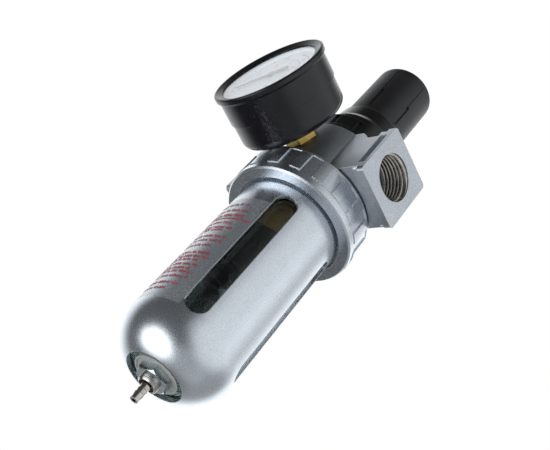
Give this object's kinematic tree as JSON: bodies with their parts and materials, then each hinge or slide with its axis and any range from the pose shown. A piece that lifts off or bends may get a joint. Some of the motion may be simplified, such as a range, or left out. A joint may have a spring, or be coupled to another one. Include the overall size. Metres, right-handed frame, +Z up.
{
  "type": "air pressure regulator",
  "caption": "Compressed-air filter-regulator: in-line threaded ports, black adjusting knob, round dial gauge, clear bowl in a slotted metal guard, manual drain with hose barb.",
  "frame": {"origin": "centre of the inlet port's mouth, on the port axis, in the plane of the inlet face", "axes": "+X runs along the flow from inlet to outlet, -Y is the side the gauge faces, +Z runs up the main axis to the knob"},
  "size_m": [0.08, 0.0901, 0.2218],
  "materials": {
    "body_paint": "satin silver-grey paint",
    "guard_paint": "fine metallic silver paint",
    "black_plastic": "satin",
    "knob_plastic": "satin",
    "inner_plastic": "matt",
    "zinc_steel": "bright zinc plate",
    "spring_steel": "drawn wire",
    "inner_aluminium": "turned",
    "rubber": "matt",
    "brass": "turned",
    "nickel": "nickel plate",
    "washer_grey": "satin",
    "sintered_bronze": "sintered, dark and open-grained",
    "clear_bowl": "clear moulded, greenish",
    "label_film": "clear film",
    "gauge_black": "gloss",
    "lens": "clear",
    "dial_white": "matt white print",
    "pointer_black": "matt black"
  },
  "bodies": {
    "housing": {"body": "body_paint", "bonnet": "black_plastic", "panel_nut": "black_plastic", "main_spring": "spring_steel", "diaphragm": "rubber", "valve_spring": "spring_steel", "valve_guide": "inner_plastic", "deflector": "inner_plastic", "filter_element": "sintered_bronze", "baffle": "inner_plastic", "element_bolt": "zinc_steel", "gauge_socket": "brass", "gauge_case": "gauge_black", "gauge_bezel": "gauge_black", "gauge_lens": "lens", "gauge_dial": "dial_white", "gauge_movement": "brass", "bourdon_tube": "brass", "rear_plug": "zinc_steel"},
    "screw": {"adjusting_screw": "zinc_steel"},
    "knob": {"knob": "knob_plastic"},
    "spring_nut": {"adjusting_nut": "zinc_steel"},
    "piston": {"diaphragm_plate": "inner_aluminium", "diaphragm_washer": "inner_aluminium"},
    "valve": {"valve_stem": "brass", "valve_poppet": "brass", "valve_seal": "rubber"},
    "bowl": {"bowl": "clear_bowl", "bowl_guard": "guard_paint", "label_film": "label_film", "bowl_o_ring": "rubber", "drain_body": "nickel", "drain_gasket": "rubber", "drain_washer": "washer_grey", "drain_nut": "zinc_steel", "drain_spring": "spring_steel"},
    "ring": {"clamp_ring": "guard_paint"},
    "drain": {"drain_stem": "nickel", "drain_seal": "rubber"},
    "pointer": {"gauge_pointer": "pointer_black"},
    "sector": {"gauge_sector": "brass"}
  },
  "joints": [
    {"name": "knob_turn", "type": "hinge", "parent": "housing", "child": "screw", "pos_m": [0.04, 0, 0.052], "axis": [0, 0, -1], "range_deg": [0, 1440]},
    {"name": "knob_lift", "type": "slide", "parent": "screw", "child": "knob", "axis": [0, 0, 1], "range_m": [0, 0.003]},
    {"name": "spring_nut_travel", "type": "slide", "parent": "housing", "child": "spring_nut", "axis": [0, 0, -1], "range_m": [0, 0.006], "deforming": ["main_spring"]},
    {"name": "diaphragm_stroke", "type": "slide", "parent": "housing", "child": "piston", "axis": [0, 0, -1], "range_m": [0, 0.0015], "stiffness_N_per_m": 800, "springref_m": -0.003, "deforming": ["diaphragm"]},
    {"name": "valve_stroke", "type": "slide", "parent": "housing", "child": "valve", "axis": [0, 0, -1], "range_m": [0, 0.0015], "stiffness_N_per_m": 600, "springref_m": -0.004, "deforming": ["valve_spring"]},
    {"name": "bowl_off", "type": "slide", "parent": "housing", "child": "bowl", "axis": [0, 0, -1], "range_m": [0, 0.1]},
    {"name": "ring_turn", "type": "hinge", "parent": "bowl", "child": "ring", "pos_m": [0.04, 0, -0.0288], "axis": [0, 0, -1], "range_deg": [0, 1080]},
    {"name": "drain_push", "type": "slide", "parent": "bowl", "child": "drain", "axis": [0, 0, 1], "range_m": [0, 0.002], "stiffness_N_per_m": 400, "springref_m": -0.004, "deforming": ["drain_spring"]},
    {"name": "sector_turn", "type": "hinge", "parent": "housing", "child": "sector", "pos_m": [0.04, -0.043, -0.006], "axis": [0, -1, 0], "range_deg": [0, 30], "stiffness_Nm_per_rad": 0.002, "springref_deg": -11.46},
    {"name": "pointer_turn", "type": "hinge", "parent": "housing", "child": "pointer", "pos_m": [0.04, -0.0555, 0.003], "axis": [0, 1, 0], "range_deg": [0, 270]}
  ],
  "couplings": [
    {"joint": "knob_turn", "follows": "spring_nut_travel", "rad_per_m": 4188.8},
    {"joint": "valve_stroke", "follows": "diaphragm_stroke", "ratio": 1},
    {"joint": "pointer_turn", "follows": "sector_turn", "ratio": 9}
  ]
}
